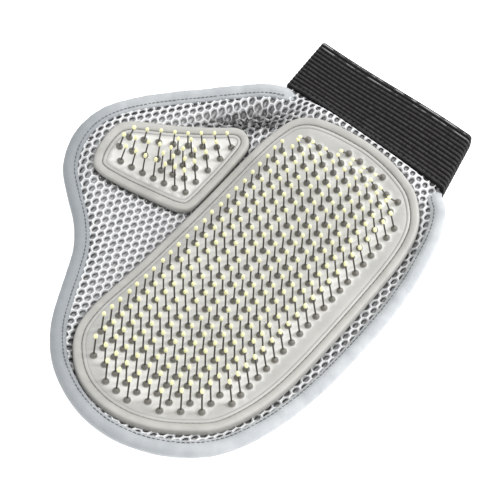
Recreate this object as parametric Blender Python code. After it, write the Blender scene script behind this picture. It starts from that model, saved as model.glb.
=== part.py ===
"""Grooming glove: a mesh mitt with two rubber pads of ball-tipped wire pins, bound edges and an elastic cuff.

The glove lies on its back with the pins up. +X is to the right across the palm (the thumb is at -X), +Y runs from
the fingertips to the wrist, and +Z is up out of the palm. Lengths below are in millimetres unless they say otherwise.
"""

import bmesh
import bpy
import math
import numpy as np
from mathutils import Matrix, Vector
from mathutils.geometry import delaunay_2d_cdt

MM = 0.001
ORIGIN = (-29.6, 16.63, -20.5)  # the middle of the glove's underside, in pad coordinates

# Bound edge of the mitt, from the right cuff corner round the fingertips and thumb to the left cuff corner.
# Each point is across, along and the height of the tape's middle above the middle of the main pad.
EDGE = [
    (43.0, 100.2, 6.4), (46.0, 96.6, 7.8), (50.8, 91.5, 9.0), (56.5, 80.5, 8.6), (60.3, 65, 6.6), (62.9, 50, 5.2),
    (64.5, 34, 4.3), (65.0, 15, 3.9), (64.7, -5, 4.1), (63.6, -25, 5.0), (61.0, -44, 6.6), (56.8, -61, 8.7), (50.0, -77, 11.0),
    (40.0, -89, 12.8), (26.0, -98.8, 14.0), (9.0, -105, 14.4), (-8.0, -106, 13.6), (-25.0, -102, 11.4),
    (-41.0, -94, 8.2), (-55.0, -81.5, 4.4), (-65.0, -67, 1.6), (-73.0, -53, 0.2), (-80.5, -41, -0.2),
    (-90.5, -31, 0.4), (-103.0, -22.5, 2.4), (-115.0, -13, 5.4), (-122.4, 1, 8.6), (-124.2, 17, 10.2),
    (-120.3, 32, 10.0), (-112.4, 46.3, 8.8), (-103.6, 58.5, 7.8), (-95.0, 69, 7.0), (-86.4, 79.2, 6.6),
    (-77.0, 89.2, 6.8), (-68.4, 95.8, 7.2), (-59.6, 100.2, 6.4),
]
# Outer edges of the two pads, across and along.
MAIN_PAD = [
    (-49.2, 0), (-49.2, -30), (-49.0, -52), (-46.0, -67), (-41.0, -79), (-33.5, -87), (-23.0, -91.6), (-11.0, -93.3),
    (2.0, -92.9), (14.0, -90.2), (25.0, -85.2), (34.0, -78), (41.0, -68), (46.0, -55), (49.3, -39), (50.6, -20),
    (50.6, 10), (50.2, 40), (49.2, 57), (47.2, 68), (43.6, 76.3), (38.0, 83.4), (29.5, 89.8), (15.5, 94.2),
    (1.0, 95.9), (-12.0, 95.2), (-25.0, 93.2), (-35.0, 89.7), (-42.0, 83.6), (-46.2, 75), (-48.2, 64), (-49.1, 48),
    (-49.2, 24),
]
THUMB_PAD = [
    (-50.7, 42), (-50.7, 29), (-50.8, 18), (-52.4, 12), (-57.5, 8.7), (-65, 6.4), (-73.4, 4), (-82.4, 1), (-90, -1.4),
    (-97, -3.2), (-102.2, -2.2), (-105.8, 3.2), (-107.8, 11), (-108.3, 18), (-107.2, 23.6), (-103.5, 29.2),
    (-97, 35.4), (-88, 43.3), (-79, 51.2), (-70, 59), (-64.5, 63.6), (-59.2, 65), (-54.2, 62.8), (-51.5, 57.2),
]

BINDING_WIDTH, BINDING_HEIGHT = 7.8, 6.4
MESH_THICKNESS = 2.5
GAP = 0.3
CREASE_X = -50.0  # the fold between the two pads
THUMB_SIDE_X = -52.4  # where the thumb side's cloth begins
BACK_LEVEL = -20.5  # underside of the glove
FLAT_BELOW = 1.5  # the back stays flat where the dish is shallower than this

RUBBER_TOP, RUBBER_BOTTOM = 0.0, -2.8
FOOT_TOP, FOOT_BOTTOM = -3.3, -3.9
BACKING_TOP, BACKING_BOTTOM = -4.2, -4.8
CLOTH_UNDER_PAD = -6.0
TIGHT_MARGIN = 1.0
PAD_SPREAD = 2.2  # how far outside a pad's top edge its tilted underside reaches
RIM_WIDTH, RIM_TOP = 4.6, 0.9
STITCH_INSET, STITCH_SIZE = 5.3, 0.5

PIN_PITCH, ROW_PITCH = 6.2, 7.26
WIRE, TIP, TIP_MIDDLE, TIP_END = 0.55, 1.1, 16.2, 17.9  # half widths, then heights
SLOT, FOOT_WIDTH, FOOT_CELL = 1.9, 2.6, 10.0
# Each lengthwise row of the main pad: first pin and last pin, in steps from the pad's middle.
MAIN_ROWS = [(-11, 11), (-13, 13), (-13, 13), (-14, 13), (-14, 14), (-14, 14), (-13, 14), (-13, 14), (-12, 13),
             (-11, 13), (-9, 11)]
# Each fanned row of the thumb pad: first pin, last pin, count.
THUMB_ROWS = [
    ((-99.7, 20.9), (-58.3, 53.7), 8), ((-77.5, 33.2), (-58.6, 45.1), 4), ((-99.8, 13.6), (-59.1, 36.0), 8),
    ((-77.0, 19.8), (-59.4, 27.0), 4), ((-94.4, 8.4), (-59.4, 19.0), 7),
]

# The cuff: its two ends as (left x, right x, y), the top of its outer face, its height and its wall.
CUFF_SEAM, CUFF_MOUTH = (-62.4, 42.4, 103.0), (-66.0, 34.6, 139.4)
CUFF_TOP, CUFF_HEIGHT, CUFF_WALL = 8.6, 12.0, 2.0

# Where the glove bends: a point of each joint's axis, in pad coordinates.
THUMB_AXIS = (-50.0, 35.0, 6.0)  # along the glove, at the fold between the pads
WRIST_AXIS = (-9.0, 101.5, 2.6)  # across the glove, at the cuff's seam

COLOURS = {
    "mesh": ((0.86, 0.87, 0.88), 0.85),
    "tape": ((0.62, 0.66, 0.71), 0.75),
    "rubber": ((0.66, 0.65, 0.61), 0.55),
    "backing": ((0.45, 0.45, 0.43), 0.8),
    "wire": ((0.22, 0.20, 0.17), 0.35),
    "thread": ((0.16, 0.17, 0.18), 0.8),
    "elastic": ((0.035, 0.035, 0.04), 0.8),
}


# ---------------------------------------------------------------- the dished palm

def rise(t, square, fourth, limit):
    """Height at distance t: a curve up to the limit and a straight slope beyond it."""
    t = np.abs(t)
    u = np.minimum(t, limit)
    slope = 2 * square * limit + 4 * fourth * limit ** 3
    return square * u ** 2 + fourth * u ** 4 + (t - u) * slope


def dish(x, y):
    """Height of the pads' top face: low in the middle, rising to the fingertips, wrist, right side and thumb."""
    x, y = np.asarray(x, float), np.asarray(y, float)
    along = rise(y, 8.9e-4, 7.1e-8, 87)
    twist = -5e-4 * np.clip(x, -100, 60) * np.clip(y, -95, 95)
    right = rise(np.maximum(x, 0), 1.77e-3, 0, 50)
    thumb = rise(np.maximum(-56 - x, 0), 4.84e-3, 0, 44)
    return along + twist + right + thumb


def slopes(x, y, step=0.5):
    return ((dish(x + step, y) - dish(x - step, y)) / (2 * step),
            (dish(x, y + step) - dish(x, y - step)) / (2 * step))


def on_dish(points):
    """Flat pad coordinates laid on the dish, with heights measured square to it."""
    x, y, z = points.T
    sx, sy = slopes(x, y)
    size = np.sqrt(1 + sx ** 2 + sy ** 2)
    return np.stack([x - z * sx / size, y - z * sy / size, dish(x, y) + z / size], 1)


def smooth(t):
    t = np.clip(t, 0, 1)
    return t * t * (3 - 2 * t)


def spline(points, steps, closed=True):
    """A smooth line through the points, with this many steps between each pair."""
    points = np.array(points, float)
    if closed:
        padded = np.vstack([points[-1:], points, points[:2]])
    else:
        padded = np.vstack([2 * points[:1] - points[1:2], points, 2 * points[-1:] - points[-2:-1]])
    line = []
    for i in range(1, len(padded) - 2):
        a, b, c, d = padded[i - 1:i + 3]
        for t in np.arange(steps) / steps:
            line.append(0.5 * (2 * b + (c - a) * t + (2 * a - 5 * b + 4 * c - d) * t ** 2
                               + (3 * b - a - 3 * c + d) * t ** 3))
    if not closed:
        line.append(points[-1])
    return np.array(line)


def inset(line, distance, closed=True):
    """The line moved to its left by the distance, which is inwards on a ring that runs anticlockwise."""
    flat = line[:, :2]
    if closed:
        ahead, behind = np.roll(flat, -1, 0), np.roll(flat, 1, 0)
    else:
        ahead, behind = np.vstack([flat[1:], flat[-1:]]), np.vstack([flat[:1], flat[:-1]])
    way = ahead - behind
    way /= np.linalg.norm(way, axis=1)[:, None]
    moved = line.copy()
    moved[:, :2] = flat + distance * np.stack([-way[:, 1], way[:, 0]], 1)
    return moved


def divide(ring, longest):
    """The ring with points put into every side that is longer than this."""
    found = []
    for a, b in zip(ring, np.roll(ring, -1, 0)):
        count = max(1, math.ceil(np.linalg.norm((b - a)[:2]) / longest))
        found += [a + (b - a) * k / count for k in range(count)]
    return np.array(found)


def distance_to(x, y, line, closed):
    """Distance from each point to the line, and the height carried by the nearest point of it."""
    ends = np.roll(line, -1, 0) if closed else line[1:]
    starts = line if closed else line[:-1]
    best, height = np.full(len(x), 1e9), np.zeros(len(x))
    for start, end in zip(starts, ends):
        way = end[:2] - start[:2]
        t = np.clip(((x - start[0]) * way[0] + (y - start[1]) * way[1]) / (way @ way), 0, 1)
        away = np.hypot(x - start[0] - t * way[0], y - start[1] - t * way[1])
        nearer = away < best
        best = np.where(nearer, away, best)
        if line.shape[1] > 2:
            height = np.where(nearer, start[2] + t * (end[2] - start[2]), height)
    return best, height


def inside(x, y, ring):
    crossed = np.zeros(len(x), bool)
    for (ax, ay), (bx, by) in zip(ring, np.roll(ring, -1, 0)):
        if ay != by:
            crossed ^= ((ay > y) != (by > y)) & (x < ax + (y - ay) * (bx - ax) / (by - ay))
    return crossed


EDGE_LINE = spline(EDGE, 2, closed=False)[::-1]  # turned round, so that it runs anticlockwise
TAPE_INNER = inset(EDGE_LINE, BINDING_WIDTH + GAP, closed=False)
MAIN_RING, THUMB_RING = spline(MAIN_PAD, 2), spline(THUMB_PAD[::-1], 2)


def palm_top(x, y):
    """Top of the palm cloth: level with the tape at the edge, pressed down to the pads' underside beneath them."""
    out, tape = distance_to(x, y, EDGE_LINE, False)
    out = np.maximum(out - BINDING_WIDTH, 0)
    pad = np.full(len(x), 1e9)
    for ring in (MAIN_RING, THUMB_RING):
        away, _ = distance_to(x, y, ring, True)
        pad = np.minimum(pad, np.where(inside(x, y, ring), 0, np.maximum(away - PAD_SPREAD, 0)))
    sx, sy = slopes(x, y)
    low = dish(x, y) + CLOTH_UNDER_PAD * np.sqrt(1 + sx ** 2 + sy ** 2)
    share = smooth(out / (out + pad + 1e-6))
    level = tape + BINDING_HEIGHT / 2 - 0.4
    level = low + (level - low) * smooth((out + pad - TIGHT_MARGIN) / 2.5)  # a narrow margin stays down beside the pad
    return low * share + level * (1 - share)


def back_bottom(x, y):
    """Underside of the back cloth: flat where it rests, and drawn up to the tape and to the cuff."""
    out, tape = distance_to(x, y, EDGE_LINE, False)
    out = np.maximum(out - BINDING_WIDTH, 0)
    level = BACK_LEVEL + np.maximum(dish(x, y) - FLAT_BELOW, 0)
    mouth = smooth((y - 72) / 30)
    level = level * (1 - mouth) + (CUFF_TOP - CUFF_HEIGHT - 2.1) * mouth
    share = smooth(out / 22)
    drawn = level * share + (tape - BINDING_HEIGHT / 2 + 0.4) * (1 - share)
    return np.minimum(drawn, palm_top(x, y) - 2 * MESH_THICKNESS - 2 * GAP)


# ---------------------------------------------------------------- making solids

def fresh_collection(name, hidden):
    found = bpy.data.collections.new(name)
    bpy.context.scene.collection.children.link(found)
    found.hide_render = hidden
    return found


for old in list(bpy.data.objects):
    bpy.data.objects.remove(old)
GLOVE = fresh_collection("grooming_glove", False)
CUTTERS = fresh_collection("cutters", True)


def material(slot):
    found = bpy.data.materials.get(slot)
    if found is None:
        found = bpy.data.materials.new(slot)
        found.use_nodes = True
        shader = found.node_tree.nodes["Principled BSDF"]
        colour, rough = COLOURS[slot]
        shader.inputs["Base Color"].default_value = (*colour, 1)
        shader.inputs["Roughness"].default_value = rough
    return found


def object_of(name, bm, collection=None):
    bmesh.ops.recalc_face_normals(bm, faces=bm.faces)
    mesh = bpy.data.meshes.new(name)
    bm.to_mesh(mesh)
    bm.free()
    made = bpy.data.objects.new(name, mesh)
    (collection or CUTTERS).objects.link(made)
    if collection is None:
        made.hide_render = True
        made.display_type = "WIRE"
    return made


def prism(name, ring, bottom, top):
    """An upright solid on a ring of points."""
    bm = bmesh.new()
    face = bm.faces.new([bm.verts.new((p[0], p[1], bottom)) for p in ring])
    grown = bmesh.ops.extrude_face_region(bm, geom=[face])
    up = [v for v in grown["geom"] if isinstance(v, bmesh.types.BMVert)]
    bmesh.ops.translate(bm, verts=up, vec=(0, 0, top - bottom))
    return object_of(name, bm)


def plate(name, low, high, bottom, top, cells):
    """A flat block divided into cells, so that it can be laid on the dish."""
    bm = bmesh.new()
    bmesh.ops.create_grid(bm, x_segments=cells[0], y_segments=cells[1], size=0.5)
    for v in bm.verts:
        v.co.x = low[0] + (v.co.x + 0.5) * (high[0] - low[0])
        v.co.y = low[1] + (v.co.y + 0.5) * (high[1] - low[1])
        v.co.z = bottom
    grown = bmesh.ops.extrude_face_region(bm, geom=bm.faces[:])
    up = [v for v in grown["geom"] if isinstance(v, bmesh.types.BMVert)]
    bmesh.ops.translate(bm, verts=up, vec=(0, 0, top - bottom))
    return object_of(name, bm)


def combine(base, other, operation):
    """The Boolean of two flat solids, applied, so that the result can be bent."""
    step = base.modifiers.new(operation.lower(), "BOOLEAN")
    step.operation, step.object, step.solver = operation, other, "EXACT"
    bpy.context.view_layer.update()
    graph = bpy.context.evaluated_depsgraph_get()
    mesh = bpy.data.meshes.new_from_object(base.evaluated_get(graph))
    base.modifiers.clear()
    base.data = mesh
    bpy.data.objects.remove(other)
    return base


def finish(made, name, slot, place):
    """Triangulate the flat solid, move its points by place(), and hand it to the glove."""
    bm = bmesh.new()
    bm.from_mesh(made.data)
    bmesh.ops.remove_doubles(bm, verts=bm.verts, dist=0.001)
    bmesh.ops.dissolve_degenerate(bm, edges=bm.edges, dist=0.001)
    bmesh.ops.triangulate(bm, faces=bm.faces)
    points = place(np.array([v.co for v in bm.verts], float)) - np.array(ORIGIN)
    for v, point in zip(bm.verts, points):
        v.co = Vector(point) * MM
    bm.to_mesh(made.data)
    bm.free()
    CUTTERS.objects.unlink(made)
    GLOVE.objects.link(made)
    made.name = made.data.name = name
    made.hide_render = False
    made.display_type = "TEXTURED"
    made.data.materials.clear()
    made.data.materials.append(material(slot))
    made.data.shade_smooth()
    made.data.set_sharp_from_angle(angle=math.radians(35))
    return made


def cut_to(made, ring, extra=2.0):
    low = min(v.co.z for v in made.data.vertices) - extra
    high = max(v.co.z for v in made.data.vertices) + extra
    return combine(made, prism("outline", ring, low, high), "INTERSECT")


def between(bottom_of, top_of):
    """Places a block's lower points on one surface and its upper points on another."""
    def place(points):
        x, y, z = points.T
        return np.stack([x, y, np.where(z > 0.5, top_of(x, y), bottom_of(x, y))], 1)
    return place


def panel(name, ring, slot, place, cell=11.0):
    """Cloth inside a ring: its points follow the ring, the pads' edges and an open grid elsewhere."""
    points, folds = [p[:2] for p in ring], []
    lines = [inset(line, -off) for line in (MAIN_RING, THUMB_RING) for off in (PAD_SPREAD + 0.1, -8.0)]
    low, high = ring[:, :2].min(0), ring[:, :2].max(0)
    grid = np.array([(x, y) for x in np.arange(low[0] + cell / 2, high[0], cell)
                     for y in np.arange(low[1] + cell / 2, high[1], cell)])
    for extra, clear, joined in [(line, 0.9, True) for line in lines] + [(grid, cell * 0.5, False)]:
        x, y = extra.T
        kept = inside(x, y, ring) & (distance_to(x, y, ring[:, :2], True)[0] > clear)
        last = None
        for p, keep in zip(extra, kept):
            if keep and min(np.hypot(p[0] - q[0], p[1] - q[1]) for q in points) > clear:
                points.append(p)
                if joined and last == len(points) - 2:
                    folds.append((last, last + 1))
                last = len(points) - 1
            else:
                last = None
    border = list(range(len(ring)))
    verts, _, faces, *_ = delaunay_2d_cdt([Vector(p) for p in points], folds, [border], 1, 1e-4)
    bm = bmesh.new()
    made = [bm.verts.new((v.x, v.y, 0)) for v in verts]
    for face in faces:
        bm.faces.new([made[i] for i in face])
    bmesh.ops.delete(bm, geom=[v for v in bm.verts if not v.link_faces], context="VERTS")
    grown = bmesh.ops.extrude_face_region(bm, geom=bm.faces[:])
    up = [v for v in grown["geom"] if isinstance(v, bmesh.types.BMVert)]
    bmesh.ops.translate(bm, verts=up, vec=(0, 0, 1))
    return finish(object_of(name, bm), name, slot, place)


def sweep(name, line, section, slot, closed, place=None):
    """A section (across, up) carried along a line that holds its own heights."""
    bm = bmesh.new()
    flat = line[:, :2]
    if closed:
        way = np.roll(flat, -1, 0) - np.roll(flat, 1, 0)
    else:
        way = np.vstack([flat[1:], flat[-1:]]) - np.vstack([flat[:1], flat[:-1]])
    way /= np.linalg.norm(way, axis=1)[:, None]
    left = np.stack([-way[:, 1], way[:, 0]], 1)
    rings = []
    for point, side in zip(line, left):
        rings.append([bm.verts.new((point[0] + side[0] * a, point[1] + side[1] * a, point[2] + b)) for a, b in section])
    for i in range(len(rings) if closed else len(rings) - 1):
        here, there = rings[i], rings[(i + 1) % len(rings)]
        for k in range(len(section)):
            n = (k + 1) % len(section)
            bm.faces.new((here[k], here[n], there[n], there[k]))
    if not closed:
        bm.faces.new(rings[0])
        bm.faces.new(rings[-1])
    made = object_of(name, bm)
    return finish(made, name, slot, place) if slot else made


# ---------------------------------------------------------------- cloth: palm, back, tape and its thread

def side_of(ring, keep_left):
    """The part of a ring on one side of the crease."""
    edge = THUMB_SIDE_X if keep_left else CREASE_X + GAP
    kept = []
    for a, b in zip(ring, np.roll(ring, -1, 0)):
        if (a[0] < edge) == keep_left:
            kept.append(a[:2])
        if (a[0] < edge) != (b[0] < edge):
            t = (edge - a[0]) / (b[0] - a[0])
            kept.append(a[:2] + t * (b[:2] - a[:2]))
    return np.array(kept)


def run_of(line, keep_left):
    """The part of the open tape line on one side of the crease: the hand side is cut where the fingertips begin."""
    edge = THUMB_SIDE_X if keep_left else CREASE_X + GAP
    low = line[:, 1] < 0
    cut = [i for i in range(len(line) - 1) if low[i] and (line[i, 0] < edge) != (line[i + 1, 0] < edge)][0]
    t = (edge - line[cut, 0]) / (line[cut + 1, 0] - line[cut, 0])
    crossing = line[cut] + t * (line[cut + 1] - line[cut])
    if keep_left:
        return np.vstack([line[:cut + 1], crossing])
    return np.vstack([crossing, line[cut + 1:]])


def oval(width, height, count=8):
    turns = np.arange(count) * 2 * math.pi / count + math.pi / count
    scale = 1 / math.cos(math.pi / count)
    return [(width / 2 * scale * math.cos(t), height / 2 * scale * math.sin(t)) for t in turns]


def make_cloth():
    palm = between(lambda x, y: palm_top(x, y) - MESH_THICKNESS, palm_top)
    back = between(back_bottom, lambda x, y: back_bottom(x, y) + MESH_THICKNESS)
    for label, keep_left in (("hand", False), ("thumb", True)):
        outline = np.vstack([TAPE_INNER[:, :2], (TAPE_INNER[-1, 0], EDGE[0][1]), (TAPE_INNER[0, 0], EDGE[-1][1])])
        ring = divide(side_of(outline, keep_left), 8)
        panel("palm_mesh_" + label, ring, "mesh", palm)
        panel("back_mesh_" + label, ring, "mesh", back)
        middle = run_of(inset(EDGE_LINE, BINDING_WIDTH / 2, closed=False), keep_left)
        sweep("edge_binding_" + label, middle, oval(BINDING_WIDTH, BINDING_HEIGHT), "tape", False, lambda p: p)
        seam = run_of(inset(EDGE_LINE, BINDING_WIDTH - 1.6, closed=False), keep_left)
        seam[:, 2] += BINDING_HEIGHT / 2 + 0.35
        sweep("binding_stitching_" + label, seam, oval(STITCH_SIZE, STITCH_SIZE, 3), "thread", False, lambda p: p)


# ---------------------------------------------------------------- pads

def flat_line(ring, height):
    return np.column_stack([ring[:, :2], np.full(len(ring), height)])


def make_pad(name, ring, slots, cell):
    """A rubber cushion with a rolled rim and one slot for each row of pins, and the backing sheet inside the rim."""
    low, high = ring.min(0) - 2, ring.max(0) + 2
    cells = [max(1, int(round(side / size))) for side, size in zip(high - low, cell)]
    cushion = cut_to(plate(name, low, high, RUBBER_BOTTOM, RUBBER_TOP, cells), inset(ring, RIM_WIDTH * 0.5))
    for start, end in slots:
        way = (end - start) / np.linalg.norm(end - start)
        side = np.array([-way[1], way[0]]) * SLOT / 2
        start, end = start - way * 1.6, end + way * 1.6
        corners = [start - side, end - side, end + side, start + side]
        cushion = combine(cushion, prism("slot", corners, RUBBER_BOTTOM - 1, RUBBER_TOP + 1), "DIFFERENCE")
    half = RIM_WIDTH / 2
    bottom = BACKING_BOTTOM + 0.1
    section = [(-half * 0.8, bottom), (half, bottom), (half, RIM_TOP - 0.8), (half * 0.45, RIM_TOP),
               (-half * 0.45, RIM_TOP), (-half, RIM_TOP - 1.2), (-half, bottom + 1)]
    rim = sweep("rim", flat_line(inset(ring, half), 0), section, None, True)
    finish(combine(cushion, rim, "UNION"), name + "_rubber", "rubber", on_dish)
    inner = inset(ring, RIM_WIDTH + GAP)
    sheet = plate(name, low, high, BACKING_BOTTOM, BACKING_TOP, cells)
    finish(cut_to(sheet, inner), name + "_backing", "backing", on_dish)
    seam = flat_line(inset(ring, STITCH_INSET), RUBBER_TOP + 0.3 + STITCH_SIZE / 2)
    sweep(name + "_stitching", seam, oval(STITCH_SIZE, STITCH_SIZE, 3), "thread", True, on_dish)


def make_pin_row(name, start, end, count):
    """One row of ball-tipped wire pins on the strip that holds their heads under the cushion."""
    start, end = np.array(start, float), np.array(end, float)
    length = float(np.linalg.norm(end - start))
    turn = Matrix.Translation((*start, 0)) @ Matrix.Rotation(math.atan2(*(end - start)[::-1]), 4, "Z")
    foot = plate(name, (-1.3, -FOOT_WIDTH / 2), (length + 1.3, FOOT_WIDTH / 2), FOOT_BOTTOM, FOOT_TOP,
                 (max(1, round(length / FOOT_CELL)), 1))
    bm = bmesh.new()
    for i in range(count):
        made = bmesh.ops.create_cone(bm, segments=3, radius1=WIRE, radius2=WIRE, depth=1, cap_ends=True)["verts"]
        top = [v for v in made if v.co.z > 0]
        for v in made:
            v.co.x += length * i / (count - 1)
            v.co.z = TIP_MIDDLE - 1.6 if v.co.z > 0 else (FOOT_TOP + FOOT_BOTTOM) / 2
        cap = [f for f in top[0].link_faces if all(v in top for v in f.verts)][0]
        for height, radius in ((TIP_MIDDLE, TIP), (TIP_END, 0.0)):
            cap = bmesh.ops.extrude_discrete_faces(bm, faces=[cap])["faces"][0]
            middle = cap.calc_center_median()
            for v in cap.verts:
                away = v.co - middle
                v.co = Vector((middle.x, middle.y, height)) + away.normalized() * radius
    bmesh.ops.remove_doubles(bm, verts=bm.verts, dist=0.001)
    row = combine(foot, object_of("pins", bm), "UNION")
    row.data.transform(turn)
    return finish(row, name, "wire", on_dish)


def make_pads():
    steps = [k - (len(MAIN_ROWS) - 1) / 2 for k in range(len(MAIN_ROWS))]
    rows = [((k * ROW_PITCH, a * PIN_PITCH), (k * ROW_PITCH, b * PIN_PITCH), b - a + 1)
            for k, (a, b) in zip(steps, MAIN_ROWS)]
    for name, ring, lines, cell in (("main_pad", MAIN_RING, rows, (14, 12)),
                                    ("thumb_pad", THUMB_RING, THUMB_ROWS, (9, 12))):
        make_pad(name, ring, [(np.array(a, float), np.array(b, float)) for a, b, _ in lines], cell)
        for number, (start, end, count) in enumerate(lines, 1):
            make_pin_row(f"{name[:-4]}_pin_row_{number:02d}", start, end, count)


# ---------------------------------------------------------------- cuff

def cuff_ring(place, grow, top):
    """One end of the cuff: a flattened loop, as points round it."""
    left, right, y = place
    radius = CUFF_HEIGHT / 2 - grow
    middle = top - CUFF_HEIGHT / 2
    loop = []
    for centre, first in ((right - CUFF_HEIGHT / 2, -90), (left + CUFF_HEIGHT / 2, 90)):
        for k in range(7):
            angle = math.radians(first + 30 * k)
            loop.append((centre + radius * math.cos(angle), y, middle + radius * math.sin(angle)))
    return loop


def make_cuff():
    """The elastic band: an open flattened tube, narrower at its mouth, and the thread that holds it."""
    bm = bmesh.new()
    rings = [[bm.verts.new(p) for p in cuff_ring(end, grow, CUFF_TOP)]
             for end, grow in ((CUFF_SEAM, 0), (CUFF_MOUTH, 0), (CUFF_MOUTH, CUFF_WALL), (CUFF_SEAM, CUFF_WALL))]
    for here, there in zip(rings, rings[1:] + rings[:1]):
        for k in range(len(here)):
            n = (k + 1) % len(here)
            bm.faces.new((here[k], here[n], there[n], there[k]))
    finish(object_of("cuff", bm), "cuff_elastic_band", "elastic", lambda p: p)
    left, right, y = CUFF_SEAM
    line = np.array([(x, y + 2.5, CUFF_TOP + 0.35 + STITCH_SIZE / 2) for x in np.linspace(left + 8, right - 8, 3)])
    sweep("cuff_stitching", line, oval(STITCH_SIZE, STITCH_SIZE, 3), "thread", False, lambda p: p)


def hang_on(joint, point, names):
    """Parents a body's pieces to an empty on its joint's axis, without moving them."""
    pivot = bpy.data.objects.new(joint, None)
    GLOVE.objects.link(pivot)
    pivot.location = [(p - o) * MM for p, o in zip(point, ORIGIN)]
    for piece in [o for o in GLOVE.objects if o.name in names]:
        piece.parent = pivot
        piece.matrix_parent_inverse = Matrix.Translation(pivot.location).inverted()


make_cloth()
make_pads()
make_cuff()
for leftover in list(CUTTERS.objects):
    bpy.data.objects.remove(leftover)
hang_on("thumb_flex", THUMB_AXIS, [o.name for o in GLOVE.objects if "thumb" in o.name])
hang_on("wrist_flex", WRIST_AXIS, ["cuff_elastic_band", "cuff_stitching"])
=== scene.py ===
"""Looks of the grooming glove: mesh cloth, bound edge, rubber pads with ball-tipped pins, ribbed cuff.

Shapes are worked out in pad coordinates: millimetres, X across (thumb at -X), Y from the fingertips to the
wrist, Z out of the palm, with the origin on the middle of the main pad's face. The frame's origin is ORIGIN
in them.
"""

import math

import bmesh
import bpy
import numpy as np
from mathutils import Matrix, Vector
from mathutils.geometry import delaunay_2d_cdt


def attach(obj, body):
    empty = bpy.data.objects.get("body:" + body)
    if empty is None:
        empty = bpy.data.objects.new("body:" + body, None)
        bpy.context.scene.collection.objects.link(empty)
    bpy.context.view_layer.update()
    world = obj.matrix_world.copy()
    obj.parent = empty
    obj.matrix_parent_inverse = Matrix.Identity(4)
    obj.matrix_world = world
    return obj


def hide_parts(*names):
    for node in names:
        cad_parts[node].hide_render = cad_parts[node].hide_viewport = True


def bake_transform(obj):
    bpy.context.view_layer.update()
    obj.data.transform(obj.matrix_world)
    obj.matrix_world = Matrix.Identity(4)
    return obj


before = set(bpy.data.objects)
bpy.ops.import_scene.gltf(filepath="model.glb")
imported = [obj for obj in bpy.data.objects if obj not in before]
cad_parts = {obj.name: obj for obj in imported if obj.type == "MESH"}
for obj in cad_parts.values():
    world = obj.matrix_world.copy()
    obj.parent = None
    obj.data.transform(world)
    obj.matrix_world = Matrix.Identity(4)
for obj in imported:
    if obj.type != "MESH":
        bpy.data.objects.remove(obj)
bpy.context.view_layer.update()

MM = 0.001
ORIGIN = np.array((-29.6, 16.63, -20.5))
RNG = np.random.default_rng(7)

# ---------------------------------------------------------------- the glove's outlines
# As in the CAD model, but for the main pad's two ends and the edge beside the cuff, which were drawn again
# from a closer look at the photograph.

EDGE = [
    (43.0, 100.2, 6.4), (46.0, 96.6, 7.8), (50.8, 91.5, 9.0), (56.5, 80.5, 8.6), (60.3, 65, 6.6),
    (62.9, 50, 5.2), (64.5, 34, 4.3), (65.0, 15, 3.9), (64.7, -5, 4.1), (63.6, -25, 5.0),
    (61.0, -44, 6.6), (56.8, -61, 8.7), (50.0, -77, 11.0), (40.0, -89, 12.8), (26.0, -98.8, 14.0),
    (9.0, -105, 14.4), (-8.0, -106, 13.6), (-25.0, -102, 11.4), (-41.0, -94, 8.2),
    (-55.0, -81.5, 4.4), (-65.0, -67, 1.6), (-73.0, -53, 0.2), (-80.5, -41, -0.2),
    (-90.5, -31, 0.4), (-103.0, -22.5, 2.4), (-115.0, -13, 5.4), (-122.4, 1, 8.6),
    (-124.2, 17, 10.2), (-120.3, 32, 10.0), (-112.4, 46.3, 8.8), (-103.6, 58.5, 7.8),
    (-95.0, 69, 7.0), (-86.4, 79.2, 6.6), (-77.0, 89.4, 6.8), (-68.6, 96.6, 7.2),
    (-60.2, 101.8, 6.6),
]
MAIN_PAD = [
    (-49.2, 0), (-49.2, -30), (-49.6, -52), (-48.6, -63), (-46.2, -71.8), (-42.0, -78.8), (-36.5, -84.3),
    (-28.5, -90.2), (-18.8, -94.4), (-8.0, -96.0), (1.5, -95.2), (10.0, -92.9), (21.0, -87.3), (32.5, -78.0),
    (40.6, -69.2), (46.2, -55), (49.4, -39), (50.6, -20), (50.6, 10), (50.2, 40), (49.4, 57), (47.6, 68.4),
    (44.3, 77.0), (38.7, 84.3), (30.0, 90.9), (15.8, 95.4), (1.0, 97.1), (-12.1, 96.4), (-25.3, 94.4),
    (-35.6, 90.8), (-42.7, 84.4), (-46.2, 75), (-48.2, 64), (-49.1, 48), (-49.2, 24),
]
THUMB_PAD = [
    (-50.7, 42), (-50.7, 29), (-50.8, 18), (-52.4, 12), (-57.5, 8.7), (-65, 6.4), (-73.4, 4),
    (-82.4, 1), (-90, -1.4), (-97, -3.2), (-102.2, -2.2), (-105.8, 3.2), (-107.8, 11), (-108.3, 18),
    (-107.2, 23.6), (-103.5, 29.2), (-97, 35.4), (-88, 43.3), (-79, 51.2), (-70, 59), (-64.5, 63.6),
    (-59.2, 65), (-54.2, 62.8), (-51.5, 57.2),
]
PIN_PITCH, ROW_PITCH = 6.2, 7.26
MAIN_ROWS = [  # each row's first and last pin, counted in pitches from the pad's middle
    (-11, 11), (-13, 13), (-13, 13), (-14, 13), (-14, 14), (-14, 14), (-13, 14), (-13, 14), (-12, 13),
    (-11, 13), (-9, 11),
]
THUMB_ROWS = [  # each row's two ends and its number of pins
    ((-99.7, 20.9), (-58.3, 53.7), 8), ((-77.5, 33.2), (-58.6, 45.1), 4), ((-99.8, 13.6), (-59.1, 36.0), 8),
    ((-77.0, 19.8), (-59.4, 27.0), 4), ((-94.4, 8.4), (-59.4, 19.0), 7),
]
CUFF_SEAM, CUFF_MOUTH = (-62.4, 42.4, 103.0), (-66.0, 34.6, 139.4)  # left, right, Y
CUFF_TOP, CUFF_HEIGHT, CUFF_WALL = 8.6, 12.0, 2.0
BINDING_WIDTH, BINDING_HEIGHT = 7.8, 6.4
BACK_LEVEL, FLAT_BELOW = -20.5, 1.5
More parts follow.
